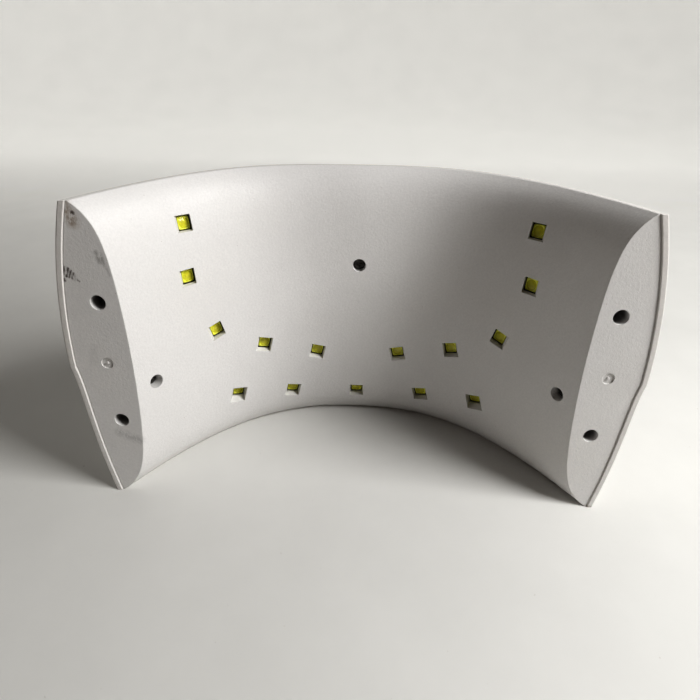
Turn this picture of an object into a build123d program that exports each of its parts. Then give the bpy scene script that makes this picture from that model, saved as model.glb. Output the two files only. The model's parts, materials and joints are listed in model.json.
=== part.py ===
from build123d import *
import math
import os

# A UV curing lamp: a white arch that a hand goes under, with fifteen LEDs in its liner.
# It is modelled standing on its rear rim: +Z runs from the rear rim to the front rim, the
# two foot faces look along -Y and the crest of the arch is on the +Y side. Millimetres.

os.makedirs("parts", exist_ok=True)

# ---------------------------------------------------------------- driving dimensions
HEIGHT = 118.0  # rear rim to front rim
FOOT_LINE_Y = -42.05  # where the plane of the foot faces meets the rear rim's plane
FOOT_LEAN = 5.0  # degrees that the plane of the foot faces leans from the vertical
BEND_Z = 57.5  # height of the crease in the outer shell

REAR_SEAM_WIDTH = 96.5  # half width of the seam between liner and shell at the rear rim
REAR_DEPTH = 64.6  # depth of the seam's arch at the rear rim
REAR_SWELL = 5.8  # how much the lower shell swells out by the bend
SHOULDER = 1.8  # extra flare just under the bend
SHOULDER_LENGTH = 7.0
FRONT_TAPER = 9.1  # how much the shell narrows from the bend to the front rim
FRONT_DROP = 12.2  # how much its crest drops on the way
TAPER_POWER = 2.1
CREST_SWELL = 1.5  # crest height gained for each millimetre of extra half width

WAIST_WIDTH = 82.6  # half width of the hand space at its narrowest
WAIST_Z = 60.0
WAIST_BOW = 0.0011  # how fast the hand space widens away from the waist, per mm
REAR_LIP, REAR_LIP_LENGTH = 9.4, 7.0  # flare of the liner towards the rear rim
FRONT_LIP, FRONT_LIP_LENGTH = 8.1, 6.2  # flare of the liner towards the front rim
LINER_DEPTH_RATIO = 0.85

REAR_SQUARENESS, FRONT_SQUARENESS = 2.4, 2.9  # exponents of the arch's plan curve

SHELL_WALL = 2.4
LINER_WALL = 2.2
FOOT_PLATE = 2.6
SEAM_GAP = 0.2
RIM_ROUND = 0.5
FOOT_RECESS = 0.5  # how far the foot plates lie below the shell's rim

# LEDs: share of the half width, height, roll in the wall, and depth of the window
LED_ROWS = (
    (0.768, 103.1, 3, 3.8),
    (0.785, 83.0, 1, 3.8),
    (0.702, 57.3, -14, 4.2),
    (0.493, 44.5, 17, 4.6),
    (0.221, 37.2, 14, 4.6),
    (0.614, 22.3, 16, 6.0),
    (0.350, 16.6, 13, 4.8),
    (0.0, 14.2, 0, 4.8),
)
WINDOW = 5.6
WINDOW_DRAFT = 11.0  # degrees
WINDOW_LEAN = 0.7  # how far the windows lean from the wall's normal to the open side's
CHAMBER, CHAMBER_DEEP = 7.0, 1.8  # the chamber that each LED stands in
COLLAR = 9.8
LED_BOARD, LED_BOARD_THICK = 9.4, 1.0
LED_BODY, LED_BODY_HIGH = 5.0, 1.3
LED_LENS_R, LED_LENS_HIGH = 2.15, 0.3
LED_CORNER = 0.35
WINDOW_PAST = 2.0  # how far a window's cutting shape runs on past the liner's face

# Self-tapping screws and their wells
SCREW_HEAD_R, SCREW_HEAD_HIGH = 2.5, 1.9
SHANK_R, SHANK_LONG = 1.4, 7.5
TIP_CLEAR = 0.4  # from a screw's tip to the end of its hole
SLOT_WIDE, SLOT_LONG, SLOT_DEEP = 0.24, 1.2, 0.55  # shares of a head's radius and height
HEAD_ROUND = 0.3
CLEARANCE_R = 1.7
BOSS_R = 3.5
BOSS_LONG = 34.0  # the bosses run on into the shell's wall and end there
CUT_LONG = 12.0
WELL_FLOOR = 1.5
FOOT_WELL_R, FOOT_WELL_TUBE_R, FOOT_WELL_DEEP = 2.76, 4.2, 9.0
FOOT_SCREW_X = 90.7
FOOT_SCREW_UP = (34.7, 83.5)
LINER_WELL_R, LINER_WELL_TUBE_R, LINER_WELL_DEEP = 2.8, 4.5, 5.5
LINER_SCREWS = ((0.0, 78.8), (0.939, 47.4), (-0.939, 47.4))
GATE_MARK_X, GATE_MARK_UP, GATE_MARK_R, GATE_MARK_DEEP = 91.8, 59.6, 2.2, 0.5

# Control panel on the front slope of the crest
PANEL_Z = 89.0
BUTTON_PITCH = 17.0
BUTTON_R, BUTTON_HOLE_R = 4.5, 4.75
BUTTON_FLANGE_R, BUTTON_FLANGE_HIGH = 5.4, 1.0
BUTTON_PROUD = 0.8
BUTTON_ROUND = 0.5
BUTTON_DEPTH_TO_FLANGE = 4.2
PRESS = 0.5
STEM_R = 1.8
DISPLAY_Z = 101.5
DISPLAY_WIDE, DISPLAY_TALL = 30.0, 11.0
DISPLAY_THICK, DISPLAY_SUNK = 2.2, 0.75
DISPLAY_CUT = 5.0
SMALL_ROUND = 0.3
MODULE_WIDE, MODULE_TALL, MODULE_HIGH = 25.0, 10.0, 5.6

BOARD_TOP = -10.5
BOARD_THICK = 1.6
BOARD_WIDE = 62.0
BOARD_CORNER, COMPONENT_CORNER = 2.0, 0.4
BOARD_GAP = 0.8  # between the board and the crest boss that passes it
BOARD_FRONT, BOARD_BACK = 17.5, -27.0
BOARD_SCREW_X, BOARD_SCREW_Y = 27.0, (14.0, -23.0)
BOARD_BOSS_R = 2.6
BOARD_SCREW_R, BOARD_SCREW_HEAD_R, BOARD_SCREW_HEAD_HIGH = 1.1, 2.1, 1.4
BOARD_SCREW_BITE, BOARD_SCREW_DEEP = 4.0, 5.0
CAPACITOR_R, CAPACITOR_HIGH, CAPACITOR_Y = 4.0, 7.0, -20.0
SWITCH_SIZE, SWITCH_HIGH = 6.0, 3.5
PLUNGER_R, PLUNGER_BORE_R, PLUNGER_PROUD, PLUNGER_BORE_DEEP = 1.7, 1.8, 1.0, 2.0
PLUNGER_CLEAR = 0.2  # left under a plunger when its button is pressed home

# Round power inlet in the rear slope of the crest
JACK_Z = 22.0
JACK_TILT = 40.0
JACK_POCKET_R, JACK_POCKET_DEEP = 6.2, 4.5
JACK_FLOOR = 2.0
JACK_TUBE_R = 8.2
JACK_REACH = 16.0  # how far the inlet's tube and cuts run outwards
JACK_BARREL_R, JACK_BARREL_END = 4.0, 13.0
JACK_FLANGE_R, JACK_FLANGE_HIGH = 5.6, 1.0
JACK_BORE_R, JACK_BACK_WALL = 2.85, 1.5
JACK_PIN_R, JACK_PIN_TAIL_R, JACK_PIN_TAIL = 1.0, 0.7, 1.5
JACK_PIN_SUNK, JACK_PIN_ROUND = 0.5, 0.4
JACK_NUT_FLATS, JACK_NUT_HIGH = 11.0, 2.0

# Wiring inside the case
WIRE_R = 0.6
WIRE_SHARE = 0.45  # share of the shorter run that each bend takes up
LINK_STANDOFF, FEEDER_STANDOFF = 3.4, 5.4
LINK_REACH = 3.0  # how far from a board's middle its wires are soldered
FEEDER_RUN = 12.0
POWER_LEAD_X, POWER_LEAD_Y = 7.0, -24.5
POWER_LEAD_SPACE, POWER_LEAD_DROP = 2.6, 6.0
PLUG_X, PLUG_Y, PLUG_WIDE, PLUG_TALL, PLUG_HIGH = 24.0, -8.0, 7.5, 6.0, 4.5


# ---------------------------------------------------------------- the arch's surfaces
def foot_y(z):
    return FOOT_LINE_Y + z * math.tan(math.radians(FOOT_LEAN))


def squareness(z):
    return REAR_SQUARENESS + (FRONT_SQUARENESS - REAR_SQUARENESS) * z / HEIGHT


def seam_width(z):
    """Half width of the seam between the liner and the outer shell."""
    below = BEND_Z - z
    if below >= 0:
        swell = REAR_SWELL * (1 - (below / BEND_Z) ** 2)
        return REAR_SEAM_WIDTH + swell + SHOULDER * math.exp(-below / SHOULDER_LENGTH)
    return seam_width(BEND_Z) - FRONT_TAPER * front_share(z)


def seam_depth(z):
    if z <= BEND_Z:
        return REAR_DEPTH + CREST_SWELL * (seam_width(z) - REAR_SEAM_WIDTH)
    return seam_depth(BEND_Z) - FRONT_DROP * front_share(z)


def front_share(z):
    return ((z - BEND_Z) / (HEIGHT - BEND_Z)) ** TAPER_POWER


def liner_width(z):
    """Half width of the hand space."""
    bow = WAIST_BOW * (z - WAIST_Z) ** 2
    rear = REAR_LIP * math.exp(-z / REAR_LIP_LENGTH)
    front = FRONT_LIP * math.exp((z - HEIGHT) / FRONT_LIP_LENGTH)
    return WAIST_WIDTH + bow + rear + front


def liner_depth(z):
    return REAR_DEPTH - LINER_DEPTH_RATIO * (REAR_SEAM_WIDTH - liner_width(z))


def liner_point(share, z):
    rise = liner_depth(z) * (1 - abs(share) ** squareness(z))
    return Vector(liner_width(z) * share, foot_y(z) + rise, z)


def liner_plane(share, z, roll=0.0):
    """A plane on the liner's face: its normal looks into the hand space, its y runs up."""
    step = 0.01
    across = (liner_point(share + step, z) - liner_point(share - step, z)).normalized()
    along = liner_point(share, z + 1) - liner_point(share, z - 1)
    normal = across.cross(along).normalized()
    plane = Plane(liner_point(share, z), x_dir=across, z_dir=normal)
    return Plane(plane.location * Location((0, 0, 0), (0, 0, roll)))


def crest_plane(z):
    """A plane on the outer shell's crest line: its normal looks outwards, its y runs up."""
    def crest_y(height):
        return foot_y(height) + seam_depth(height) + SHELL_WALL

    slope = (crest_y(z + 0.5) - crest_y(z - 0.5)) / 1.0
    normal = Vector(0, 1, -slope).normalized()
    return Plane((0, crest_y(z), z), x_dir=(-1, 0, 0), z_dir=normal)


# Heights of the lofted sections: the liner is one smooth loft, and the shell two that meet
# at its crease.
LIP_LEVELS = ((0, 2.5, 5.5, 10, 16, 25, 36, 48, 60, 72, 84, 94, 102, 108, 112, 115, HEIGHT),)
SEAM_LEVELS = (0, 14, 28, 40, 48, 53, BEND_Z), (BEND_Z, 72, 86, 98, 108, HEIGHT)
BEYOND_FEET = 9.0  # the bodies run on past the foot faces and are cut back to them
CURVE_POINTS = 15


def arch_body(width, depth, grow, levels):
    """A solid arch, lofted through level plan curves, with its flat side past the feet."""
    with BuildPart() as body:
        for span in levels:
            for z in span:
                half, rise = width(z) + grow, depth(z) + grow
                end = (1 + BEYOND_FEET / rise) ** (1 / squareness(z))
                shares = [end * (2 * i / (CURVE_POINTS - 1) - 1) for i in range(CURVE_POINTS)]
                points = [
                    (half * s, foot_y(z) + rise * (1 - abs(s) ** squareness(z))) for s in shares
                ]
                with BuildSketch(Plane.XY.offset(z)):
                    with BuildLine():
                        Spline(*points)
                        Line(points[-1], points[0])
                    make_face()
            loft()
    return body.part


outer_body = arch_body(seam_width, seam_depth, SHELL_WALL, SEAM_LEVELS)
seam_body = arch_body(seam_width, seam_depth, 0, SEAM_LEVELS)
mid_wall_body = arch_body(seam_width, seam_depth, SHELL_WALL / 2, SEAM_LEVELS)
liner_outline = arch_body(seam_width, seam_depth, -SEAM_GAP, SEAM_LEVELS)
hand_space = arch_body(liner_width, liner_depth, 0, LIP_LEVELS)
liner_back = arch_body(liner_width, liner_depth, LINER_WALL, LIP_LEVELS)

foot_normal = Vector(0, -1, 0).rotate(Axis.X, -FOOT_LEAN)
SHELL_FEET = Plane((0, FOOT_LINE_Y, 0), x_dir=(1, 0, 0), z_dir=foot_normal)
FEET = SHELL_FEET.offset(-FOOT_RECESS)
PANEL = crest_plane(PANEL_Z)
DISPLAY = crest_plane(DISPLAY_Z)

foot_screw_planes = [
    Plane(FEET.location * Location((side * FOOT_SCREW_X, up, 0)))
    for side in (-1, 1)
    for up in FOOT_SCREW_UP
]
liner_screw_planes = [liner_plane(share, z) for share, z in LINER_SCREWS]
led_seats = []
for share, z, roll, window_deep in LED_ROWS:
    led_seats.append((liner_plane(share, z, roll), window_deep))
    if share:
        led_seats.append((liner_plane(-share, z, -roll), window_deep))


def save(body, name):
    body.label = name
    export_step(body, f"parts/{name}.step")


def disc(plane, radius, start, long):
    """A cylinder on a plane's normal, from the height start over a signed length."""
    with BuildPart() as body:
        with BuildSketch(plane.offset(start)):
            Circle(radius)
        extrude(amount=long)
    return body.part


def slab(plane, wide, tall, start, high, at=(0, 0)):
    """A rectangular block on a plane, from the height start over a signed height."""
    with BuildPart() as body:
        with BuildSketch(plane.offset(start)):
            with Locations(at):
                Rectangle(wide, tall)
        extrude(amount=high)
    return body.part


# ---------------------------------------------------------------- liner with its windows
def window_prism(seat, deep):
    """The space of one window: a drafted square that leans to the open side, over the LED."""
    rise = deep + WINDOW_PAST
    draw = (seat.z_dir * (1 - WINDOW_LEAN) + foot_normal * WINDOW_LEAN).normalized()
    floor = seat.offset(-deep)
    mouth = Plane(
        floor.origin + draw * (rise / draw.dot(seat.z_dir)), x_dir=seat.x_dir, z_dir=seat.z_dir
    )
    mouth_size = WINDOW + 2 * rise * math.tan(math.radians(WINDOW_DRAFT))
    with BuildPart() as prism:
        for plane, side in ((floor, WINDOW), (mouth, mouth_size)):
            with BuildSketch(plane):
                Rectangle(side, side)
        loft(ruled=True)
    return prism.part


with BuildPart() as foot_plates:
    add(liner_outline)
    split(bisect_by=FEET, keep=Keep.BOTTOM)
    split(bisect_by=FEET.offset(-FOOT_PLATE), keep=Keep.TOP)

with BuildPart() as liner:
    add(liner_back)
    add(liner_outline, mode=Mode.INTERSECT)
    split(bisect_by=FEET, keep=Keep.BOTTOM)
    add(foot_plates.part)
    for seat, window_deep in led_seats:
        add(slab(seat, COLLAR, COLLAR, -window_deep, window_deep - LINER_WALL / 2))
    for plane in liner_screw_planes:
        tube_long = LINER_WELL_DEEP + WELL_FLOOR
        add(disc(plane, LINER_WELL_TUBE_R, -tube_long, tube_long - LINER_WALL / 2))
    for plane in foot_screw_planes:
        tube_long = FOOT_WELL_DEEP + WELL_FLOOR
        add(disc(plane, FOOT_WELL_TUBE_R, -tube_long, tube_long - FOOT_PLATE / 2))
    add(hand_space, mode=Mode.SUBTRACT)
    for seat, window_deep in led_seats:
        add(window_prism(seat, window_deep - CHAMBER_DEEP), mode=Mode.SUBTRACT)
        chamber = slab(seat, CHAMBER, CHAMBER, -window_deep, CHAMBER_DEEP)
        add(chamber, mode=Mode.SUBTRACT)
    for plane in liner_screw_planes:
        add(disc(plane, LINER_WELL_R, -LINER_WELL_DEEP, 2 * LINER_WELL_DEEP), mode=Mode.SUBTRACT)
        add(disc(plane, CLEARANCE_R, -CUT_LONG, CUT_LONG), mode=Mode.SUBTRACT)
    for plane in foot_screw_planes:
        add(disc(plane, FOOT_WELL_R, -FOOT_WELL_DEEP, FOOT_WELL_DEEP), mode=Mode.SUBTRACT)
        add(disc(plane, CLEARANCE_R, -CUT_LONG, CUT_LONG), mode=Mode.SUBTRACT)
    with BuildSketch(FEET):
        with Locations((-GATE_MARK_X, GATE_MARK_UP), (GATE_MARK_X, GATE_MARK_UP)):
            Circle(GATE_MARK_R)
            Circle(GATE_MARK_R / 4, mode=Mode.SUBTRACT)
    extrude(amount=-GATE_MARK_DEEP, mode=Mode.SUBTRACT)
save(liner.part, "inner_liner")

# ---------------------------------------------------------------- outer shell
crest_boss = liner_screw_planes[0]
board_screw_planes = [
    Plane(PANEL.location * Location((side * BOARD_SCREW_X, y, 0)))
    for side in (-1, 1)
    for y in BOARD_SCREW_Y
]
button_planes = [
    Plane(PANEL.location * Location((place * BUTTON_PITCH, 0, 0))) for place in (1, 0, -1)
]
rear_crest = crest_plane(JACK_Z)
jack_out = Vector(0, 1, 0).rotate(Axis.X, -JACK_TILT)
JACK = Plane(rear_crest.origin, x_dir=(1, 0, 0), z_dir=jack_out)
screw_hole_deep = SHANK_LONG - WELL_FLOOR + TIP_CLEAR

with BuildPart() as bosses:
    for plane in liner_screw_planes:
        add(disc(plane, BOSS_R, -LINER_WELL_DEEP - WELL_FLOOR, -BOSS_LONG))
    for plane in foot_screw_planes:
        add(disc(plane, BOSS_R, -FOOT_WELL_DEEP - WELL_FLOOR, -BOSS_LONG))
    for plane in board_screw_planes:
        add(disc(plane, BOARD_BOSS_R, BOARD_TOP, -BOARD_TOP))
    add(disc(JACK, JACK_TUBE_R, -JACK_POCKET_DEEP - JACK_FLOOR, JACK_REACH))
    add(mid_wall_body, mode=Mode.INTERSECT)

with BuildPart() as shell:
    add(outer_body)
    split(bisect_by=SHELL_FEET, keep=Keep.BOTTOM)
    outline = shell.edges().filter_by(GeomType.BSPLINE)
    crease = outline.filter_by_position(Axis.Z, BEND_Z - 0.1, BEND_Z + 0.1)
    fillet(outline - crease, RIM_ROUND)
    add(seam_body, mode=Mode.SUBTRACT)
    add(bosses.part)
    for plane in liner_screw_planes:
        start = -LINER_WELL_DEEP - WELL_FLOOR
        add(disc(plane, SHANK_R, start, -screw_hole_deep), mode=Mode.SUBTRACT)
    for plane in foot_screw_planes:
        start = -FOOT_WELL_DEEP - WELL_FLOOR
        add(disc(plane, SHANK_R, start, -screw_hole_deep), mode=Mode.SUBTRACT)
    for plane in board_screw_planes:
        add(disc(plane, BOARD_SCREW_R, BOARD_TOP, BOARD_SCREW_DEEP), mode=Mode.SUBTRACT)
    for plane in button_planes:
        add(disc(plane, BUTTON_HOLE_R, -CUT_LONG / 2, CUT_LONG), mode=Mode.SUBTRACT)
    display_cut = slab(DISPLAY, DISPLAY_WIDE, DISPLAY_TALL, -DISPLAY_CUT, 2 * DISPLAY_CUT)
    add(display_cut, mode=Mode.SUBTRACT)
    add(disc(JACK, JACK_POCKET_R, -JACK_POCKET_DEEP, JACK_REACH), mode=Mode.SUBTRACT)
    add(disc(JACK, JACK_BARREL_R, -JACK_BARREL_END, JACK_REACH), mode=Mode.SUBTRACT)
save(shell.part, "outer_shell")


# ---------------------------------------------------------------- screws
def screw(plane, head_top, head_r, head_high, shank_r, shank_long):
    """A pan-head screw with a cross recess; its head's top is at head_top on the normal."""
    slot_wide, slot_long, slot_deep = head_r * SLOT_WIDE, head_r * SLOT_LONG, head_high * SLOT_DEEP
    with BuildPart() as body:
        add(disc(plane, head_r, head_top - head_high, head_high))
        top = body.faces().sort_by(Axis(plane.origin, plane.z_dir))[-1]
        fillet(top.edges(), head_high * HEAD_ROUND)
        add(disc(plane, shank_r, head_top - head_high - shank_long, shank_long))
        for wide, tall in ((slot_long, slot_wide), (slot_wide, slot_long)):
            recess = slab(plane, wide, tall, head_top - slot_deep, slot_deep)
            add(recess, mode=Mode.SUBTRACT)
    return body.part


def screw_set(planes, head_top, sizes, name):
    with BuildPart() as screws:
        for plane in planes:
            add(screw(plane, head_top, *sizes))
    save(screws.part, name)


case_screw = (SCREW_HEAD_R, SCREW_HEAD_HIGH, SHANK_R, SHANK_LONG)
screw_set(foot_screw_planes, -FOOT_WELL_DEEP + SCREW_HEAD_HIGH, case_screw, "foot_screws")
screw_set(liner_screw_planes, -LINER_WELL_DEEP + SCREW_HEAD_HIGH, case_screw, "liner_screws")
under_board = [
    Plane(plane.origin, x_dir=plane.x_dir, z_dir=-plane.z_dir).offset(-BOARD_TOP + BOARD_THICK)
    for plane in board_screw_planes
]
board_screw_long = BOARD_THICK + BOARD_SCREW_BITE
board_screw = (BOARD_SCREW_HEAD_R, BOARD_SCREW_HEAD_HIGH, BOARD_SCREW_R, board_screw_long)
screw_set(under_board, BOARD_SCREW_HEAD_HIGH, board_screw, "board_screws")

# ---------------------------------------------------------------- LEDs and their boards
for number, (seat, window_deep) in enumerate(led_seats, start=1):
    save(
        slab(seat, LED_BOARD, LED_BOARD, -window_deep, -LED_BOARD_THICK),
        f"led_board_{number:02d}",
    )
    with BuildPart() as led:
        add(slab(seat, LED_BODY, LED_BODY, -window_deep, LED_BODY_HIGH))
        chamfer(led.edges().filter_by(Axis((0, 0, 0), seat.z_dir)), LED_CORNER)
        add(disc(seat, LED_LENS_R, LED_BODY_HIGH - window_deep, LED_LENS_HIGH))
    save(led.part, f"uv_led_{number:02d}")

# ---------------------------------------------------------------- control board
with BuildPart() as board:
    middle = (BOARD_FRONT + BOARD_BACK) / 2
    add(slab(PANEL, BOARD_WIDE, BOARD_FRONT - BOARD_BACK, BOARD_TOP, -BOARD_THICK, (0, middle)))
    fillet(board.edges().filter_by(Axis((0, 0, 0), PANEL.z_dir)), BOARD_CORNER)
    add(disc(crest_boss, BOSS_R + BOARD_GAP, 0, -BOSS_LONG), mode=Mode.SUBTRACT)
    for plane in board_screw_planes:
        add(disc(plane, BOARD_SCREW_R, BOARD_TOP, -BOARD_SCREW_DEEP), mode=Mode.SUBTRACT)
save(board.part, "control_board")

board_parts = {
    # name: wide, tall, high, x, y, on the top side or not
    "microcontroller": (7.0, 7.0, 1.4, 0, 12, False),
    "led_driver_transistor": (6.5, 6.0, 2.3, -12, -18, False),
    "power_inductor": (10.0, 10.0, 4.6, 14, -19, False),
    "led_plug_left": (PLUG_WIDE, PLUG_TALL, PLUG_HIGH, PLUG_X, PLUG_Y, False),
    "led_plug_right": (PLUG_WIDE, PLUG_TALL, PLUG_HIGH, -PLUG_X, PLUG_Y, False),
    "display_module": (MODULE_WIDE, MODULE_TALL, MODULE_HIGH, 0, 11.9, True),
}
for name, (wide, tall, high, x, y, on_top) in board_parts.items():
    start, high = (BOARD_TOP, high) if on_top else (BOARD_TOP - BOARD_THICK, -high)
    with BuildPart() as part:
        add(slab(PANEL, wide, tall, start, high, (x, y)))
        chamfer(part.edges().filter_by(Axis((0, 0, 0), PANEL.z_dir)), COMPONENT_CORNER)
    save(part.part, name)

capacitor_plane = Plane(PANEL.location * Location((0, CAPACITOR_Y, 0)))
capacitor = disc(capacitor_plane, CAPACITOR_R, BOARD_TOP - BOARD_THICK, -CAPACITOR_HIGH)
save(capacitor, "smoothing_capacitor")

# ---------------------------------------------------------------- display window
with BuildPart() as window:
    window_back = -DISPLAY_SUNK - DISPLAY_THICK
    add(slab(DISPLAY, DISPLAY_WIDE, DISPLAY_TALL, window_back, DISPLAY_THICK))
    face = window.faces().sort_by(Axis(DISPLAY.origin, DISPLAY.z_dir))[-1]
    fillet(face.edges(), SMALL_ROUND)
save(window.part, "display_window")

# ---------------------------------------------------------------- timer buttons and switches
plunger_top = BOARD_TOP + SWITCH_HIGH + PLUNGER_PROUD
for side, plane in zip(("left", "middle", "right"), button_planes):
    with BuildPart() as switch:
        add(slab(plane, SWITCH_SIZE, SWITCH_SIZE, BOARD_TOP, SWITCH_HIGH))
        bore_floor = BOARD_TOP + SWITCH_HIGH - PLUNGER_BORE_DEEP
        add(disc(plane, PLUNGER_BORE_R, bore_floor, 2 * PLUNGER_BORE_DEEP), mode=Mode.SUBTRACT)
    save(switch.part, f"switch_body_{side}")
    plunger_bottom = bore_floor + PRESS + PLUNGER_CLEAR
    plunger = disc(plane, PLUNGER_R, plunger_bottom, plunger_top - plunger_bottom)
    save(plunger, f"switch_plunger_{side}")
    with BuildPart() as button:
        add(disc(plane, BUTTON_R, -BUTTON_DEPTH_TO_FLANGE, BUTTON_DEPTH_TO_FLANGE + BUTTON_PROUD))
        top = button.faces().sort_by(Axis(plane.origin, plane.z_dir))[-1]
        fillet(top.edges(), BUTTON_ROUND)
        add(disc(plane, BUTTON_FLANGE_R, -BUTTON_DEPTH_TO_FLANGE, -BUTTON_FLANGE_HIGH))
        stem_start = -BUTTON_DEPTH_TO_FLANGE - BUTTON_FLANGE_HIGH
        add(disc(plane, STEM_R, stem_start, plunger_top - stem_start))
    save(button.part, f"timer_button_{side}")

# ---------------------------------------------------------------- power inlet
jack_floor = -JACK_POCKET_DEEP
with BuildPart() as jack:
    add(disc(JACK, JACK_BARREL_R, jack_floor, -(JACK_BARREL_END - JACK_POCKET_DEEP)))
    add(disc(JACK, JACK_FLANGE_R, jack_floor, JACK_FLANGE_HIGH))
    flange_top = jack.faces().sort_by(Axis(JACK.origin, JACK.z_dir))[-1]
    fillet(flange_top.edges(), SMALL_ROUND)
    bore_end = -JACK_BARREL_END + JACK_BACK_WALL
    add(disc(JACK, JACK_BORE_R, bore_end, JACK_REACH), mode=Mode.SUBTRACT)
    add(disc(JACK, JACK_PIN_TAIL_R, -JACK_BARREL_END, 2 * JACK_BACK_WALL), mode=Mode.SUBTRACT)
save(jack.part, "power_jack_housing")

with BuildPart() as pin:
    pin_start = -JACK_BARREL_END - JACK_PIN_TAIL
    add(disc(JACK, JACK_PIN_TAIL_R, pin_start, bore_end - pin_start))
    add(disc(JACK, JACK_PIN_R, bore_end, jack_floor - JACK_PIN_SUNK - bore_end))
    tip = pin.faces().sort_by(Axis(JACK.origin, JACK.z_dir))[-1]
    fillet(tip.edges(), JACK_PIN_ROUND)
save(pin.part, "power_jack_pin")

with BuildPart() as nut:
    with BuildSketch(JACK.offset(-JACK_POCKET_DEEP - JACK_FLOOR)):
        RegularPolygon(JACK_NUT_FLATS / 2, 6, major_radius=False)
        Circle(JACK_BARREL_R, mode=Mode.SUBTRACT)
    extrude(amount=-JACK_NUT_HIGH)
save(nut.part, "power_jack_nut")


# ---------------------------------------------------------------- wiring
def wire(points):
    """A round wire along straight runs joined by tangent arcs."""
    points = [Vector(*point) if isinstance(point, tuple) else point for point in points]
    runs = [end - start for start, end in zip(points, points[1:])]
    bends = []
    for before, after in zip(runs, runs[1:]):
        half_turn = math.radians(before.get_angle(after) / 2)
        bends.append(WIRE_SHARE * min(before.length, after.length) / math.tan(half_turn))
    with BuildPart() as body:
        with BuildLine() as path:
            FilletPolyline(*points, radius=bends)
        with BuildSketch(Plane(points[0], z_dir=runs[0].normalized())):
            Circle(WIRE_R)
        sweep()
    return body.part


def solder_point(number, towards, standoff):
    """A point behind one LED's board, on the side that looks at another point."""
    seat, window_deep = led_seats[number - 1]
    aim = seat.to_local_coords(towards)
    reach = Vector(aim.X, aim.Y, 0).normalized() * LINK_REACH
    back = -window_deep - LED_BOARD_THICK - standoff
    return seat.from_local_coords(Vector(reach.X, reach.Y, back))


def link(first, second):
    """A wire from one LED's board to the next, standing off the backs of both."""
    first_at, second_at = led_seats[first - 1][0].origin, led_seats[second - 1][0].origin
    return wire(
        [
            solder_point(first, second_at, 0),
            solder_point(first, second_at, LINK_STANDOFF),
            solder_point(second, first_at, LINK_STANDOFF),
            solder_point(second, first_at, 0),
        ]
    )


def feeder(side, number):
    """The wire from a plug on the control board to the nearest LED's board."""
    height = BOARD_TOP - BOARD_THICK - PLUG_HIGH / 2
    start = PANEL.from_local_coords(Vector(side * (PLUG_X + PLUG_WIDE / 2), PLUG_Y, height))
    turn = PANEL.from_local_coords(Vector(side * (PLUG_X + FEEDER_RUN), PLUG_Y, height))
    approach = solder_point(number, turn, FEEDER_STANDOFF)
    return wire([start, turn, approach, solder_point(number, turn, 0)])


# Boards are numbered front to back in pairs, right then left, with the middle one last.
for name, side, plug_side in (("left", 1, 1), ("right", 0, -1)):
    upper, rear = (1, 3, 5, 7, 9), (11, 13)
    chain = [number + side for number in upper]
    rear_chain = [number + side for number in rear] + [15]
    with BuildPart() as harness:
        add(feeder(plug_side, chain[1]))
        for first, second in zip(chain, chain[1:]):
            add(link(first, second))
        for first, second in zip(rear_chain, rear_chain[1:]):
            add(link(first, second))
    save(harness.part, f"led_harness_{name}")

jack_back = JACK.offset(-JACK_BARREL_END)
for name, x, start_height in (("red", 0, -JACK_PIN_TAIL), ("black", -POWER_LEAD_SPACE, 0)):
    side = 1 if name == "red" else -1
    start = jack_back.from_local_coords(Vector(x, 0, start_height))
    turn = jack_back.from_local_coords(Vector(x, 0, -JACK_PIN_TAIL - POWER_LEAD_SPACE))
    under = BOARD_TOP - BOARD_THICK
    across = -side * POWER_LEAD_X
    finish = PANEL.from_local_coords(Vector(across, POWER_LEAD_Y, under))
    below = PANEL.from_local_coords(Vector(across, POWER_LEAD_Y, under - POWER_LEAD_DROP))
    save(wire([start, turn, below, finish]), f"power_lead_{name}")
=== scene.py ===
import json
import math

import bmesh
import bpy
from mathutils import Matrix, Vector


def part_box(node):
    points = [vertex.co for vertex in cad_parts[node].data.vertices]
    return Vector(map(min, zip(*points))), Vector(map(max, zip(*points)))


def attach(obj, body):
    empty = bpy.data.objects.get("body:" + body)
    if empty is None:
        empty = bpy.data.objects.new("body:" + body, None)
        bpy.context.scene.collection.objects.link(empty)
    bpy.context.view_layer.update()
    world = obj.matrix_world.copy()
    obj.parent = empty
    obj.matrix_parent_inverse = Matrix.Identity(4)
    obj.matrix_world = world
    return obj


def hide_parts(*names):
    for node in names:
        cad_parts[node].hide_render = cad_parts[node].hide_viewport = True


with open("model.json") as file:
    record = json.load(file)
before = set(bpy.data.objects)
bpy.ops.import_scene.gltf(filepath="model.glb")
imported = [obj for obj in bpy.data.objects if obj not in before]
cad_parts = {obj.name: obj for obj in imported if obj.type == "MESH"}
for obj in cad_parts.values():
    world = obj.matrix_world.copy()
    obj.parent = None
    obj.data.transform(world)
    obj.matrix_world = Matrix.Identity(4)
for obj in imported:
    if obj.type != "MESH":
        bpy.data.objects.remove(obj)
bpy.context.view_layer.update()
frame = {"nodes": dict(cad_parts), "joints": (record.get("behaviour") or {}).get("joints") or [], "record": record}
NODES = frame["nodes"]
JOINTS = {joint["name"]: joint for joint in frame["joints"]}
MOUNTS = {mount["name"]: mount for mount in frame["record"]["mounts"]}
MM = 0.001

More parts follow.
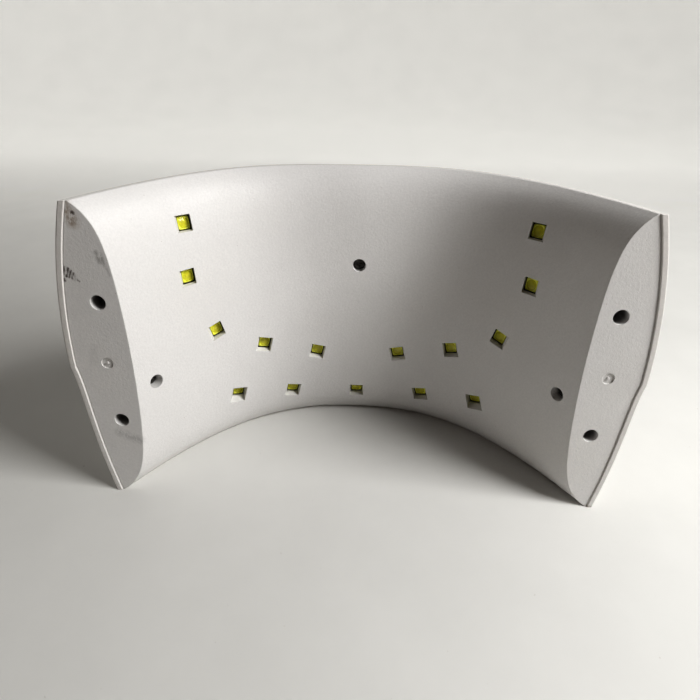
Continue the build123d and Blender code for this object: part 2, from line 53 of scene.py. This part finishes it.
# LED package, in millimetres from the middle of its board's face
LED_HALF, LED_HIGH, LED_EDGE = 2.5, 1.3, 0.14
CUP_R, CUP_FLOOR_R, CUP_FLOOR = 2.12, 1.98, 0.95
GEL_HIGH = 0.27
DIE_SIZE, DIE_HIGH, DIE_PLACE = 0.86, 0.12, 0.56
LEAD_WIDE, LEAD_HIGH, LEAD_REACH, LEAD_PITCH = 0.9, 0.22, 0.28, 1.55
LEAD_INSIDE, LEAD_BEVEL = 0.05, 0.04
CUP_LIP, CUP_ROUND, GEL_SUNK = 0.05, 0.06, 0.05
BODY_LIFT = 0.02  # keeps the rim's underside off the board's face
WIRE_SIZE, WIRE_LIFT = (0.75, 0.06, 0.05), 0.17
WIRE_X, WIRE_Y = 1.9, 0.9  # a bond wire's place, as shares of its die's
DOME_STEPS = 7
LOOP_POINTS, CORNER_POWER = 48, 9


# ---------------------------------------------------------------- places read from the frame
def faces_by_direction(node):
    """The area of a node's mesh that looks each way."""
    areas = {}
    for face in NODES[node].data.polygons:
        key = tuple(round(value, 2) for value in face.normal)
        total, normal = areas.get(key, (0.0, face.normal.copy()))
        areas[key] = (total + face.area, normal)
    return list(areas.values())


def block_axes(node, towards):
    """The axes of a block-shaped node: z to its broad side nearest towards, y up the lamp."""
    faces = faces_by_direction(node)
    broad = max(area for area, _ in faces)
    normal = max((n for area, n in faces if area > 0.9 * broad), key=lambda n: n.dot(towards))
    sides = [(area, n) for area, n in faces if abs(n.dot(normal)) < 0.05]
    widest = max(area for area, _ in sides)
    up = max((n for area, n in sides if area > 0.35 * widest), key=lambda n: n.z)
    return up.cross(normal).normalized(), up.normalized(), normal.normalized()


def place(origin, across, up, normal):
    axes = Matrix((across, up, normal)).transposed().to_4x4()
    return Matrix.Translation(origin) @ axes


def middle(node):
    low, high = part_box(node)
    return (low + high) / 2


def end_face(node, normal):
    """The middle of the end of a node that lies furthest along a direction."""
    points = [vertex.co for vertex in NODES[node].data.vertices]
    reach = max(point.dot(normal) for point in points)
    end = [point for point in points if point.dot(normal) > reach - 0.02 * MM]
    low = Vector(min(point[i] for point in end) for i in range(3))
    high = Vector(max(point[i] for point in end) for i in range(3))
    return (low + high) / 2


# ---------------------------------------------------------------- materials
class Finish:
    """A material whose principled shader is fed by noises in the object's own space."""

    def __init__(self, name, colour, roughness, **settings):
        self.material = bpy.data.materials.new(name)
        self.material.use_nodes = True
        self.tree = self.material.node_tree
        self.shader = self.tree.nodes["Principled BSDF"]
        self.coords = self.node("ShaderNodeTexCoord").outputs["Object"]
        self.set("Base Color", (*colour, 1))
        self.set("Roughness", roughness)
        for socket, value in settings.items():
            self.set(socket.replace("_", " "), value)

    def node(self, kind, **settings):
        node = self.tree.nodes.new(kind)
        for name, value in settings.items():
            setattr(node, name, value)
        return node

    def set(self, socket, value):
        self.shader.inputs[socket].default_value = value

    def link(self, source, target):
        self.tree.links.new(source, target)

    def feed(self, source, socket):
        self.link(source, self.shader.inputs[socket])

    def noise(self, size, detail=2.0, roughness=0.5, stretch=None):
        """A noise whose features are about size metres across."""
        texture = self.node("ShaderNodeTexNoise")
        texture.inputs["Scale"].default_value = 1 / size
        texture.inputs["Detail"].default_value = detail
        texture.inputs["Roughness"].default_value = roughness
        source = self.coords
        if stretch:
            mapping = self.node("ShaderNodeMapping")
            mapping.inputs["Scale"].default_value = stretch
            self.link(source, mapping.inputs["Vector"])
            source = mapping.outputs["Vector"]
        self.link(source, texture.inputs["Vector"])
        return texture.outputs["Fac"]

    def span(self, value, low, high, to_low=0.0, to_high=1.0):
        node = self.node("ShaderNodeMapRange")
        for socket, number in zip((1, 2, 3, 4), (low, high, to_low, to_high)):
            node.inputs[socket].default_value = number
        self.link(value, node.inputs[0])
        return node.outputs[0]

    def math(self, operation, first, second):
        node = self.node("ShaderNodeMath", operation=operation)
        for socket, value in zip(node.inputs, (first, second)):
            if isinstance(value, (int, float)):
                socket.default_value = value
            else:
                self.link(value, socket)
        return node.outputs[0]

    def mix(self, share, first, second):
        node = self.node("ShaderNodeMix", data_type="RGBA")
        self.link(share, node.inputs["Factor"])
        for socket, value in zip((node.inputs[6], node.inputs[7]), (first, second)):
            if isinstance(value, tuple):
                socket.default_value = (*value, 1)
            else:
                self.link(value, socket)
        return node.outputs[2]

    def bump(self, heights, rounding=0.0):
        """Bumps from (height, strength, depth in metres), over edges rounded in the shading."""
        normal = None
        if rounding:
            bevel = self.node("ShaderNodeBevel", samples=4)
            bevel.inputs["Radius"].default_value = rounding
            normal = bevel.outputs["Normal"]
        for height, strength, depth in heights:
            node = self.node("ShaderNodeBump")
            node.inputs["Strength"].default_value = strength
            node.inputs["Distance"].default_value = depth
            self.link(height, node.inputs["Height"])
            if normal:
                self.link(normal, node.inputs["Normal"])
            normal = node.outputs["Normal"]
        self.feed(normal, "Normal")

    def height_above_rim(self):
        split = self.node("ShaderNodeSeparateXYZ")
        self.link(self.coords, split.inputs[0])
        return split.outputs["Z"]

    def streak(self, start, end, radius):
        """How near a point is to a rubbed streak: 1 on its line, 0 beyond its radius."""
        along = end - start
        offset = self.node("ShaderNodeVectorMath", operation="SUBTRACT")
        self.link(self.coords, offset.inputs[0])
        offset.inputs[1].default_value = start
        share = self.node("ShaderNodeVectorMath", operation="DOT_PRODUCT")
        self.link(offset.outputs[0], share.inputs[0])
        share.inputs[1].default_value = along / max(along.length_squared, 1e-12)
        limited = self.node("ShaderNodeMath", operation="ADD", use_clamp=True)
        self.link(share.outputs["Value"], limited.inputs[0])
        limited.inputs[1].default_value = 0.0
        nearest = self.node("ShaderNodeVectorMath", operation="SCALE")
        nearest.inputs[0].default_value = along
        self.link(limited.outputs[0], nearest.inputs["Scale"])
        gap = self.node("ShaderNodeVectorMath", operation="DISTANCE")
        self.link(offset.outputs[0], gap.inputs[0])
        self.link(nearest.outputs[0], gap.inputs[1])
        return self.span(gap.outputs["Value"], radius, 0.0)


def tint(colour, share):
    return tuple(value * share for value in colour)


EDGE_ROUND = 0.00035  # radius of the moulded edges, in metres
WELL_SHADE = 2.0  # how strongly the painted shade darkens the depths of the screw wells


def white_abs(name, colour, marks=(), painted_shades=()):
    """Satin white ABS with a fine spark texture, slight mottling, specks and rubbed marks, with painted shade
    along the bottom rim and in the depths of the screw wells.
    """
    finish = Finish(name, colour, 0.5, Specular_IOR_Level=0.42)
    mottle = finish.span(finish.noise(0.022, 3.0), 0.35, 0.65)
    tone = finish.mix(mottle, tint(colour, 0.972), colour)
    yellowing = finish.span(finish.noise(0.06, 1.0), 0.5, 0.75, 0.0, 0.35)
    tone = finish.mix(yellowing, tone, (colour[0] * 0.985, colour[1] * 0.97, colour[2] * 0.925))
    grain = finish.span(finish.noise(0.0008, 2.0, 0.65), 0.36, 0.64, 0.0, 0.75)
    tone = finish.mix(grain, tone, tint(colour, 0.925))
    specks = finish.span(finish.noise(0.0009, 1.0), 0.79, 0.82, 0.0, 0.45)
    tone = finish.mix(specks, tone, (0.33, 0.29, 0.24))
    # painted shade: within 1.2 mm of the rim, where the lamp meets the table, the colour is darkened and broken up
    # by noise
    rim = finish.span(finish.height_above_rim(), 0.0012, 0.0001)
    rim_painted_shade = finish.math("MULTIPLY", rim, finish.span(finish.noise(0.004, 4.0), 0.42, 0.66))
    tone = finish.mix(rim_painted_shade, tone, (0.50, 0.47, 0.43))
    break_up = finish.span(finish.noise(0.0009, 4.0, 0.7, (1.0, 1.0, 0.6)), 0.38, 0.56, 0.1, 1.0)
    for start, end, radius, strength, mark_colour in marks:
        mask = finish.math("MULTIPLY", finish.streak(start, end, radius), break_up)
        mask = finish.math("MULTIPLY", mask, strength)
        tone = finish.mix(mask, tone, mark_colour)
    # painted shade: the depths of the screw wells are darkened towards near black
    for start, end, radius in painted_shades:
        depth = finish.math("MULTIPLY", finish.streak(start, end, radius), WELL_SHADE)
        tone = finish.mix(depth, tone, (0.05, 0.045, 0.04))
    finish.feed(tone, "Base Color")
    polish = finish.span(finish.noise(0.012, 3.0), 0.3, 0.7, 0.44, 0.58)
    finish.feed(polish, "Roughness")
    finish.bump(
        [
            (finish.noise(0.03, 1.0), 0.25, 0.00035),
            (finish.noise(0.0010, 3.0, 0.6), 0.70, 0.00012),
            (finish.noise(0.00040, 2.0, 0.7), 0.60, 0.00006),
        ],
        EDGE_ROUND,
    )
    return finish.material


def moulded(name, colour, roughness, size=0.0005, mark=0.75, **settings):
    """Plain moulded plastic or rubber: mottled tone, uneven gloss and a fine grain."""
    finish = Finish(name, colour, roughness, **settings)
    mottle = finish.span(finish.noise(size * 9, 4.0), 0.35, 0.68)
    finish.feed(finish.mix(mottle, tint(colour, mark), colour), "Base Color")
    gloss = finish.span(finish.noise(size * 5, 3.0), 0.3, 0.7, roughness * 0.8, roughness * 1.2)
    finish.feed(gloss, "Roughness")
    finish.bump([(finish.noise(size, 3.0), 0.3, size * 0.1)])
    return finish.material


def plated(name, colour, roughness, size=0.0004):
    """Plated metal: turning marks, stains and an uneven polish."""
    finish = Finish(name, colour, roughness, Metallic=1.0)
    stain = finish.span(finish.noise(0.0015, 4.0), 0.42, 0.7)
    finish.feed(finish.mix(stain, colour, tint(colour, 0.55)), "Base Color")
    polish = finish.span(finish.noise(size * 3, 3.0), 0.3, 0.7, roughness * 0.7, roughness * 1.4)
    finish.feed(polish, "Roughness")
    finish.bump([(finish.noise(size, 3.0, 0.6, (1.0, 6.0, 1.0)), 0.35, 0.00002)])
    return finish.material


def circuit_mask(name, colour):
    """Solder mask over traces, which stand a little proud and look paler."""
    finish = Finish(name, colour, 0.36, Coat_Weight=0.3)
    brick = finish.node("ShaderNodeTexVoronoi", distance="CHEBYCHEV", feature="DISTANCE_TO_EDGE")
    brick.inputs["Scale"].default_value = 1 / 0.004
    finish.link(finish.coords, brick.inputs["Vector"])
    traces = finish.span(brick.outputs["Distance"], 0.10, 0.06)
    tone = finish.mix(traces, colour, tuple(min(1.0, value * 1.5 + 0.01) for value in colour))
    dust = finish.span(finish.noise(0.002, 5.0), 0.5, 0.8, 0.0, 0.25)
    finish.feed(finish.mix(dust, tone, (0.30, 0.29, 0.27)), "Base Color")
    finish.bump([(traces, 0.4, 0.00003), (finish.noise(0.0003, 2.0), 0.2, 0.00001)])
    return finish.material


def led_frame():
    """The yellow-green moulded rim of an LED package."""
    colour = (0.97, 0.98, 0.13)
    finish = Finish("led_frame", colour, 0.34, Coat_Weight=0.35, Subsurface_Weight=0.12)
    finish.set("Subsurface Radius", (0.0004, 0.0004, 0.0001))
    blotch = finish.span(finish.noise(0.0011, 4.0), 0.4, 0.66)
    finish.feed(finish.mix(blotch, (0.80, 0.82, 0.07), colour), "Base Color")
    finish.bump([(finish.noise(0.00035, 3.0), 0.4, 0.00003)])
    return finish.material


def led_gel():
    """Clear yellow silicone over the dies."""
    colour = (0.97, 0.96, 0.07)
    finish = Finish("led_gel", colour, 0.14, Alpha=0.58, Coat_Weight=0.6, IOR=1.41)
    swirl = finish.span(finish.noise(0.0009, 4.0, 0.6), 0.35, 0.66)
    finish.feed(finish.mix(swirl, (0.76, 0.75, 0.04), colour), "Base Color")
    finish.feed(finish.span(finish.noise(0.0006, 2.0), 0.3, 0.7, 0.10, 0.24), "Roughness")
    finish.bump([(finish.noise(0.0012, 2.0), 0.5, 0.00006)])
    return finish.material


def tinted_acrylic():
    finish = Finish("display_tint", (0.012, 0.012, 0.014), 0.06, Alpha=0.82, Coat_Weight=1.0)
    smear = finish.span(finish.noise(0.006, 5.0, 0.6, (1.0, 3.0, 1.0)), 0.4, 0.75, 0.04, 0.24)
    finish.feed(smear, "Roughness")
    depth = finish.span(finish.noise(0.012, 2.0), 0.3, 0.7)
    finish.feed(finish.mix(depth, (0.008, 0.008, 0.010), (0.020, 0.019, 0.022)), "Base Color")
    finish.bump([(finish.noise(0.0004, 2.0), 0.06, 0.00001)])
    return finish.material


PAINTED_ROOM_SHADE = (0.17, 0.125, 0.095)  # painted shade: the dark colour of the sweep away from the wall behind the lamp, standing in for the dim room
BACK_GLOW = 0.57  # painted light: how strongly the sweep glows towards the wall behind the lamp, standing in for the lit wall


def studio_paper():
    """The pale painted table and its sweep, with a faint mottle and a few specks; its sides, front and the table
    beside the lamp are painted dark as shade, and it glows as painted light towards the wall behind the lamp.
    """
    colour = (0.76, 0.755, 0.73)
    finish = Finish("studio_paper", colour, 0.62)
    mottle = finish.span(finish.noise(0.05, 5.0, 0.6), 0.35, 0.65)
    tone = finish.mix(mottle, tint(colour, 0.965), colour)
    specks = finish.span(finish.noise(0.0030, 2.0), 0.75, 0.78, 0.0, 0.30)
    tone = finish.mix(specks, tone, (0.42, 0.38, 0.32))
    split = finish.node("ShaderNodeSeparateXYZ")
    finish.link(finish.coords, split.inputs[0])
    wall = finish.span(split.outputs["Z"], 0.01, 0.25)
    far_from_back = finish.span(split.outputs["Y"], 0.9, 0.2)
    front = finish.span(split.outputs["Y"], -0.22, -0.50)
    beside = finish.span(split.outputs["X"], 0.28, 0.42)
    not_behind = finish.span(split.outputs["Y"], 0.15, 0.0)
    # painted shade: the walls away from the back, the front and the table beside the lamp turn dark
    shade = finish.math("MAXIMUM", finish.math("MULTIPLY", wall, far_from_back), front)
    shade = finish.math("MAXIMUM", finish.math("MULTIPLY", beside, not_behind), shade)
    finish.feed(finish.mix(shade, tone, PAINTED_ROOM_SHADE), "Base Color")
    # painted light: the sweep glows in its own colour, more strongly towards the back
    finish.feed(tone, "Emission Color")
    finish.feed(finish.span(split.outputs["Y"], 0.12, 0.65, 0.0, BACK_GLOW), "Emission Strength")
    finish.bump([(finish.noise(0.002, 4.0), 0.2, 0.0001)])
    return finish.material


def foot_point(x, up):
    """A point on the foot faces, from its place in their plane in millimetres."""
    normal = Vector(MOUNTS["left_foot"]["axis"])
    low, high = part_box("inner_liner")
    rise = Vector((0, normal.z, -normal.y))
    return Vector((x * MM, low.y, low.z)) + rise * up * MM


FOOT_WELL_X, FOOT_WELL_UP = 90.7, (34.7, 83.5)  # the wells' places in the foot faces
SHADE_FROM, SHADE_TO, SHADE_REACH = 4.6, 9.5, 4.6  # how deep in a well its painted shade lies
DARK, BROWN, GREY = (0.10, 0.08, 0.07), (0.36, 0.29, 0.23), (0.42, 0.41, 0.40)


def foot_marks():
    """The rubbed and soiled places on the left foot: ends, radius, strength and colour."""
    marks = [
        ((-95.4, 117.2), (-93.4, 111.8), 3.2, 0.90, BROWN),
        ((-94.6, 113.0), (-94.0, 111.0), 0.9, 0.80, BROWN),
        ((-93.1, 114.7), (-92.9, 114.5), 0.9, 1.60, DARK),
        ((-100.4, 96.4), (-97.0, 92.4), 1.7, 0.80, GREY),
        ((-100.5, 93.7), (-99.7, 96.2), 0.5, 1.40, DARK),
        ((-99.7, 92.9), (-98.6, 95.7), 0.6, 1.60, DARK),
        ((-98.8, 92.5), (-97.8, 95.0), 0.5, 1.40, DARK),
        ((-97.9, 92.2), (-97.0, 94.2), 0.5, 1.10, DARK),
        ((-96.6, 92.0), (-95.6, 91.2), 0.5, 0.90, DARK),
        ((-100.9, 91.8), (-100.6, 91.5), 0.9, 1.60, DARK),
        ((-87.8, 101.8), (-87.2, 98.2), 1.1, 1.00, GREY),
        ((-86.4, 100.9), (-85.8, 97.2), 1.1, 1.00, GREY),
        ((-85.2, 96.0), (-84.6, 93.6), 0.7, 0.60, GREY),
        ((-92.5, 28.7), (-85.0, 25.2), 2.8, 0.60, GREY),
        ((-97.0, 60.0), (-95.5, 66.0), 2.2, 0.25, GREY),
    ]
    return [
        (foot_point(*start), foot_point(*end), radius * MM, strength, colour)
        for start, end, radius, strength, colour in marks
    ]


def foot_well_painted_shades():
    """The depths of the four screw wells in the foot faces, where painted shade goes."""
    inwards = -Vector(MOUNTS["left_foot"]["axis"])
    wells = []
    for side in (-1, 1):
        for up in FOOT_WELL_UP:
            mouth = foot_point(side * FOOT_WELL_X, up)
            start, end = mouth + inwards * SHADE_FROM * MM, mouth + inwards * SHADE_TO * MM
            wells.append((start, end, SHADE_REACH * MM))
    return wells


def paint_nodes():
    """Gives every CAD node its finish, and returns the nickel plate for the added leads."""
    shell = white_abs("shell_abs", (0.785, 0.765, 0.740))
    liner = white_abs("liner_abs", (0.790, 0.778, 0.764), foot_marks(), foot_well_painted_shades())
    board_black = circuit_mask("led_board_mask", (0.012, 0.013, 0.012))
    board_green = circuit_mask("control_board_mask", (0.012, 0.11, 0.045))
    epoxy = moulded("chip_epoxy", (0.022, 0.022, 0.024), 0.5)
    ferrite = moulded("ferrite", (0.10, 0.10, 0.105), 0.7)
    sleeve = moulded("capacitor_sleeve", (0.012, 0.02, 0.07), 0.3)
    nylon = moulded("connector_nylon", (0.70, 0.68, 0.60), 0.42, mark=0.88)
    display = moulded("display_case", (0.012, 0.012, 0.013), 0.4)
    acrylic = tinted_acrylic()
    button = moulded("button_satin", (0.74, 0.73, 0.71), 0.33, size=0.0006, mark=0.94)
    plunger = moulded("plunger_nylon", (0.03, 0.03, 0.03), 0.4)
    zinc = plated("dark_zinc", (0.13, 0.125, 0.115), 0.42)
    jack = moulded("jack_plastic", (0.018, 0.018, 0.02), 0.45)
    nickel = plated("nickel", (0.62, 0.60, 0.56), 0.24)
    wires = {
        "led_harness": moulded("wire_white", (0.66, 0.66, 0.62), 0.5, mark=0.86),
        "power_lead_red": moulded("wire_red", (0.48, 0.02, 0.02), 0.45),
        "power_lead_black": moulded("wire_black", (0.015, 0.015, 0.015), 0.45),
    }
    finishes = {
        "outer_shell": shell,
        "inner_liner": liner,
        "led_board": board_black,
        "uv_led": board_black,
        "control_board": board_green,
        "microcontroller": epoxy,
        "led_driver_transistor": epoxy,
        "switch_body": epoxy,
        "power_inductor": ferrite,
        "smoothing_capacitor": sleeve,
        "led_plug": nylon,
        "display_module": display,
        "display_window": acrylic,
        "timer_button": button,
        "switch_plunger": plunger,
        "foot_screws": zinc,
        "liner_screws": zinc,
        "board_screws": zinc,
        "power_jack_housing": jack,
        "power_jack_pin": nickel,
        "power_jack_nut": nickel,
        **wires,
    }
    for name, node in NODES.items():
        finish = next(finishes[key] for key in finishes if name.startswith(key))
        node.data.materials.clear()
        node.data.materials.append(finish)
    return nickel


# ---------------------------------------------------------------- mesh helpers
def rounded_square(half, height):
    """A loop of points round a square with rounded corners."""
    points = []
    for step in range(LOOP_POINTS):
        angle = 2 * math.pi * (step + 0.5) / LOOP_POINTS
        c, s = math.cos(angle), math.sin(angle)
        reach = half / (abs(c) ** CORNER_POWER + abs(s) ** CORNER_POWER) ** (1 / CORNER_POWER)
        points.append((reach * c, reach * s, height))
    return points


def circle(radius, height):
    angles = [2 * math.pi * (step + 0.5) / LOOP_POINTS for step in range(LOOP_POINTS)]
    return [(radius * math.cos(a), radius * math.sin(a), height) for a in angles]


def add_loops(bm, loops, material_indexes, closed=True):
    """Skins a row of loops; the last one is filled when the skin is closed."""
    rows = [[bm.verts.new(point) for point in loop] for loop in loops]
    count = len(rows[0])
    for (first, second), index in zip(zip(rows, rows[1:]), material_indexes):
        for i in range(count):
            j = (i + 1) % count
            face = bm.faces.new((first[i], first[j], second[j], second[i]))
            face.material_index = index
            face.smooth = True
    if closed:
        cap = bm.faces.new(rows[-1])
        cap.material_index = material_indexes[-1]


def add_block(bm, centre, size, index=0, bevel=0.0):
    made = bmesh.ops.create_cube(bm, size=1.0)
    bmesh.ops.scale(bm, vec=size, verts=made["verts"])
    bmesh.ops.translate(bm, vec=centre, verts=made["verts"])
    faces = {face for vertex in made["verts"] for face in vertex.link_faces}
    for face in faces:
        face.material_index = index
    if bevel:
        edges = {edge for face in faces for edge in face.edges}
        bmesh.ops.bevel(bm, geom=list(edges), offset=bevel, segments=2, affect="EDGES")


def finish_piece(bm, name, matrix, materials, body):
    """Turns millimetres about a place into a piece that rides on a body."""
    mesh = bpy.data.meshes.new(name)
    bmesh.ops.transform(bm, matrix=matrix @ Matrix.Scale(MM, 4), verts=bm.verts)
    bm.to_mesh(mesh)
    bm.free()
    for material in materials:
        mesh.materials.append(material)
    piece = bpy.data.objects.new(name, mesh)
    bpy.context.collection.objects.link(piece)
    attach(piece, body)
    return piece


# ---------------------------------------------------------------- LED packages
def add_led(number, materials):
    """One LED: a rim round a cup with four dies under a dome of gel, and three leads a side."""
    board, node = f"led_board_{number}", f"uv_led_{number}"
    towards = middle(node) - middle(board)
    across, up, normal = block_axes(board, towards)
    bm = bmesh.new()
    loops = [
        rounded_square(LED_HALF, BODY_LIFT),
        rounded_square(LED_HALF, LED_HIGH - LED_EDGE),
        rounded_square(LED_HALF - LED_EDGE, LED_HIGH),
        circle(CUP_R + CUP_LIP, LED_HIGH),
        circle(CUP_R, LED_HIGH - CUP_ROUND),
        circle(CUP_FLOOR_R, CUP_FLOOR),
    ]
    add_loops(bm, loops, [0, 0, 0, 0, 1])
    dome = []
    for step in range(DOME_STEPS):
        share = 1 - step / DOME_STEPS
        dome.append(circle(CUP_R * share, LED_HIGH - GEL_SUNK + GEL_HIGH * (1 - share**2)))
    add_loops(bm, dome, [2] * (DOME_STEPS - 1))
    for x in (-DIE_PLACE, DIE_PLACE):
        for y in (-DIE_PLACE, DIE_PLACE):
            size = (DIE_SIZE, DIE_SIZE, DIE_HIGH)
            add_block(bm, (x, y, CUP_FLOOR + DIE_HIGH / 2), size, 3)
            add_block(bm, (x * WIRE_X, y * WIRE_Y, CUP_FLOOR + WIRE_LIFT), WIRE_SIZE, 4)
    lead_x = LED_HALF + LEAD_REACH / 2 - LEAD_INSIDE
    lead_size = (LEAD_REACH + 2 * LEAD_INSIDE, LEAD_WIDE, LEAD_HIGH)
    for side in (-1, 1):
        for step in (-1, 0, 1):
            centre = (side * lead_x, step * LEAD_PITCH, LEAD_HIGH / 2)
            add_block(bm, centre, lead_size, 4, LEAD_BEVEL)
    matrix = place(end_face(board, normal), across, up, normal)
    piece = finish_piece(bm, f"led_package_{number}", matrix, materials, "case")
    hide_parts(node)


def add_leds(nickel):
    materials = [
        led_frame(),
        moulded("led_cup", (0.92, 0.90, 0.09), 0.4, size=0.0003),
        led_gel(),
        moulded("led_die", (0.78, 0.60, 0.10), 0.3, size=0.0002),
        nickel,
    ]
    for node in sorted(NODES):
        if node.startswith("uv_led_"):
            add_led(node[-2:], materials)


# ---------------------------------------------------------------- control panel
NUMERAL_SIZE, NUMERAL_THICK = 3.6, 0.012
DIGIT_PLACES = (-5.2, 0.0, 5.2)
DIGIT_WIDE, DIGIT_TALL, BAR, BAR_GAP = 3.6, 3.3, 0.75, 0.9
BAR_LIFT, BAR_THICK, POINT = 0.03, 0.05, 0.6


def panel_axes():
    """The panel's axes for someone who uses the lamp: across, up its face, and outwards."""
    normal = -Vector(JOINTS["press_middle"]["axis"])
    across = Vector((1, 0, 0))
    return across, normal.cross(across).normalized(), normal


def add_numeral(side, number, ink):
    """The number of seconds printed on one timer button."""
    across, up, normal = panel_axes()
    text = bpy.data.curves.new("numeral", "FONT")
    text.body = number
    text.size = NUMERAL_SIZE
    text.align_x, text.align_y = "CENTER", "CENTER"
    text.extrude = NUMERAL_THICK
    holder = bpy.data.objects.new("numeral", text)
    bpy.context.collection.objects.link(holder)
    bpy.context.view_layer.update()
    evaluated = holder.evaluated_get(bpy.context.evaluated_depsgraph_get())
    flat = bpy.data.meshes.new_from_object(evaluated)
    bpy.data.objects.remove(holder)
    bm = bmesh.new()
    bm.from_mesh(flat)
    matrix = place(end_face(f"timer_button_{side}", normal), across, up, normal)
    finish_piece(bm, f"numeral_{side}", matrix, [ink], f"button_{side}")


def add_digits(segment):
    """Three unlit seven-segment digits on the display module, under the tinted window."""
    across, up, normal = panel_axes()
    module_normal = block_axes("display_module", normal)[2]
    origin = end_face("display_module", module_normal)
    level_bar = (DIGIT_WIDE - BAR_GAP, BAR, BAR_THICK)
    upright_bar = (BAR, DIGIT_TALL - BAR_GAP, BAR_THICK)
    bm = bmesh.new()
    for digit_x in DIGIT_PLACES:
        for y in (-DIGIT_TALL, 0.0, DIGIT_TALL):
            add_block(bm, (digit_x, y * 0.98, BAR_LIFT), level_bar)
        for x in (-DIGIT_WIDE / 2, DIGIT_WIDE / 2):
            for y in (-DIGIT_TALL / 2, DIGIT_TALL / 2):
                add_block(bm, (digit_x + x, y, BAR_LIFT), upright_bar)
        point_x = digit_x + DIGIT_WIDE / 2 + BAR_GAP
        add_block(bm, (point_x, -DIGIT_TALL, BAR_LIFT), (POINT, POINT, BAR_THICK))
    matrix = place(origin, across, up, normal)
    finish_piece(bm, "display_digits", matrix, [segment], "case")


def add_contact(nickel):
    """The sprung leaf inside the power inlet's bore."""
    mount = MOUNTS["power_inlet_pin"]
    normal = Vector(mount["axis"]).normalized()
    across = Vector((1, 0, 0))
    up = normal.cross(across).normalized()
    bm = bmesh.new()
    half_wide, thick, steps = 0.8, 0.15, 12
    low, long, radius, spring = -2.9, 5.4, 2.62, 0.45
    outline = ((-half_wide, 0), (half_wide, 0), (half_wide, thick), (-half_wide, thick))
    previous = None
    for step in range(steps + 1):
        share = step / steps
        height = low + long * share
        bow = radius - spring * math.sin(math.pi * share)
        row = [bm.verts.new((x, bow + lift, height)) for x, lift in outline]
        if previous:
            for i in range(4):
                bm.faces.new((previous[i], previous[(i + 1) % 4], row[(i + 1) % 4], row[i]))
        else:
            bm.faces.new(row)
        previous = row
    bm.faces.new(previous)
    matrix = place(Vector(mount["pos_m"]), across, up, normal)
    finish_piece(bm, "inlet_contact", matrix, [nickel], "case")


def add_chip_leads(nickel):
    """The gull-wing leads round the microcontroller: shoulder, leg and foot of each."""
    down = -panel_axes()[2]
    across, up, normal = block_axes("microcontroller", down)
    low_face = end_face("microcontroller", -normal)
    pitch = 0.8
    bm = bmesh.new()
    for step in range(-3, 4):
        at = step * pitch
        for side in (-1, 1):
            for centre, size in (
                ((side * 3.6, at, 0.6), (0.5, 0.3, 0.15)),
                ((side * 3.85, at, 0.32), (0.14, 0.3, 0.62)),
                ((side * 4.2, at, 0.08), (0.7, 0.3, 0.14)),
            ):
                add_block(bm, centre, size)
                turned = (centre[1], centre[0], centre[2])
                add_block(bm, turned, (size[1], size[0], size[2]))
    matrix = place(low_face, across, up, normal)
    finish_piece(bm, "microcontroller_leads", matrix, [nickel], "case")


# ---------------------------------------------------------------- camera, lights and table
def add_camera():
    """A camera held above the open side, looking down at the lamp."""
    position = Vector((3.2, -197.8, 164.6)) * MM
    ahead = Vector((-0.0267, 0.8583, -0.5124)).normalized()
    right = Vector((0.9992, 0.0383, 0.0121))
    right = (right - ahead * right.dot(ahead)).normalized()
    data = bpy.data.cameras.new("camera")
    data.sensor_width = 36.0
    data.lens = 27.05
    data.clip_start = 0.005
    camera = bpy.data.objects.new("camera", data)
    camera.matrix_world = place(position, right, right.cross(ahead), -ahead)
    bpy.context.collection.objects.link(camera)
    bpy.context.scene.camera = camera


def add_area_light(name, position, aim, size, power, colour):
    data = bpy.data.lights.new(name, "AREA")
    data.size = size
    data.energy = power
    data.color = colour
    light = bpy.data.objects.new(name, data)
    light.location = position
    light.rotation_euler = (Vector(aim) - Vector(position)).to_track_quat("-Z", "Y").to_euler()
    bpy.context.collection.objects.link(light)


CONTRAST = 0.8  # the picture's gamma: under 1, the dark tones are darker


def add_lights():
    """A soft window on the right, and the room's own light from all round."""
    add_area_light("window", (0.50, -0.185, 0.50), (0, 0, 0.05), 0.30, 5.8, (1.0, 0.998, 0.994))
    world = bpy.data.worlds.new("studio")
    world.use_nodes = True
    background = world.node_tree.nodes["Background"]
    background.inputs["Color"].default_value = (0.80, 0.80, 0.80, 1)
    background.inputs["Strength"].default_value = 0.023
    bpy.context.scene.world = world
    bpy.context.scene.view_settings.view_transform = "Standard"
    bpy.context.scene.view_settings.gamma = CONTRAST


def add_sweep():
    """A round table that curves up into a wall on every side, pale behind the lamp and painted dark as shade
    elsewhere.
    """
    flat, bend, wall_top = 0.95, 0.45, 2.2
    turns, bend_steps = 96, 12
    profile = [(0.25, 0.0), (0.6, 0.0), (flat, 0.0)]
    for step in range(1, bend_steps + 1):
        angle = math.pi / 2 * step / bend_steps
        profile.append((flat + bend * math.sin(angle), bend * (1 - math.cos(angle))))
    profile.append((flat + bend, wall_top))
    angles = [2 * math.pi * step / turns for step in range(turns)]
    bm = bmesh.new()
    rows = []
    for radius, height in profile:
        ring = [(radius * math.cos(a), radius * math.sin(a), height) for a in angles]
        rows.append([bm.verts.new(point) for point in ring])
    for first, second in zip(rows, rows[1:]):
        for i in range(turns):
            j = (i + 1) % turns
            face = bm.faces.new((first[j], first[i], second[i], second[j]))
            face.smooth = True
    bm.faces.new(rows[0])
    mesh = bpy.data.meshes.new("sweep")
    bm.to_mesh(mesh)
    bm.free()
    mesh.materials.append(studio_paper())
    sweep = bpy.data.objects.new("sweep", mesh)
    bpy.context.collection.objects.link(sweep)


add_camera()
add_lights()
add_sweep()
nickel = paint_nodes()
add_leds(nickel)
ink = moulded("button_ink", (0.10, 0.10, 0.11), 0.5, size=0.0003)
for side, number in (("left", "10"), ("middle", "30"), ("right", "60")):
    add_numeral(side, number, ink)
add_digits(moulded("unlit_segment", (0.16, 0.15, 0.14), 0.35, size=0.0003))
add_contact(nickel)
add_chip_leads(nickel)
